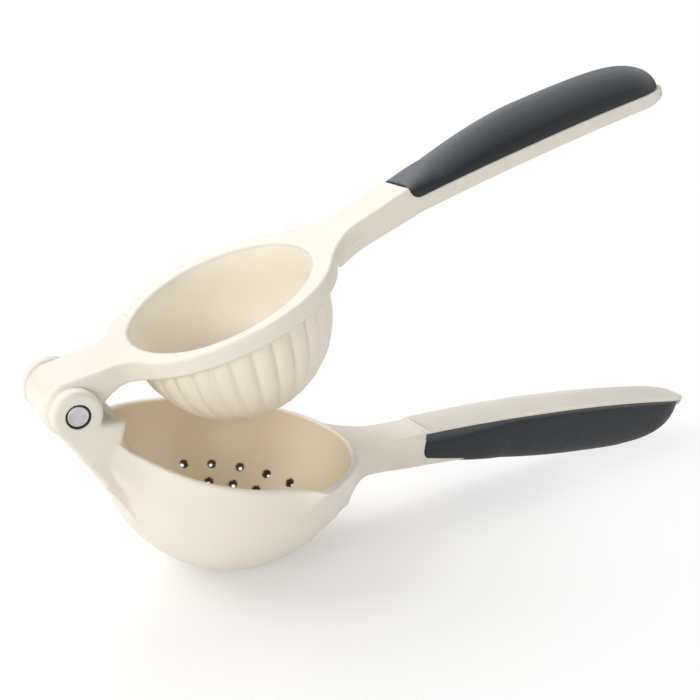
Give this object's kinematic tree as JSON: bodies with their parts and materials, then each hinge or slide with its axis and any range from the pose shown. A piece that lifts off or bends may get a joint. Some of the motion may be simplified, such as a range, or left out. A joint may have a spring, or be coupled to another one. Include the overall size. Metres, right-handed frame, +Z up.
{
  "type": "hinged lemon squeezer",
  "caption": "Hand citrus press: a perforated bowl with a pouring lip and a fluted press dome on two soft-grip handles that turn on one pin.",
  "frame": {"origin": "middle of the flat foot under the bowl, on the table", "axes": "+X from the hinge to the handle ends, +Y to the far side of the hinge pin, +Z up"},
  "size_m": [0.2412, 0.0801, 0.1373],
  "materials": {
    "body_cream": "satin moulded plastic, warm cream",
    "press_cream": "satin moulded plastic, slightly warmer cream",
    "grip_slate": "fine-grained soft-touch elastomer",
    "pin_steel": "turned face",
    "bush_black": "matt",
    "washer_acetal": "smooth natural acetal"
  },
  "bodies": {
    "lower": {"lower_body": "body_cream", "lower_handle_cover": "body_cream", "lower_grip": "grip_slate", "hinge_pin": "pin_steel", "pin_cap": "pin_steel", "near_ear_bush": "bush_black", "far_ear_bush": "bush_black", "near_thrust_washer": "washer_acetal", "far_thrust_washer": "washer_acetal"},
    "upper": {"upper_body": "body_cream", "press_dome": "press_cream", "upper_handle_cover": "body_cream", "upper_grip": "grip_slate", "barrel_bush": "bush_black"}
  },
  "joints": [
    {"name": "handle_hinge", "type": "hinge", "parent": "lower", "child": "upper", "pos_m": [-0.04682, 0, 0.05896], "axis": [0, -1, 0], "range_deg": [-28.7, 74.7]}
  ]
}
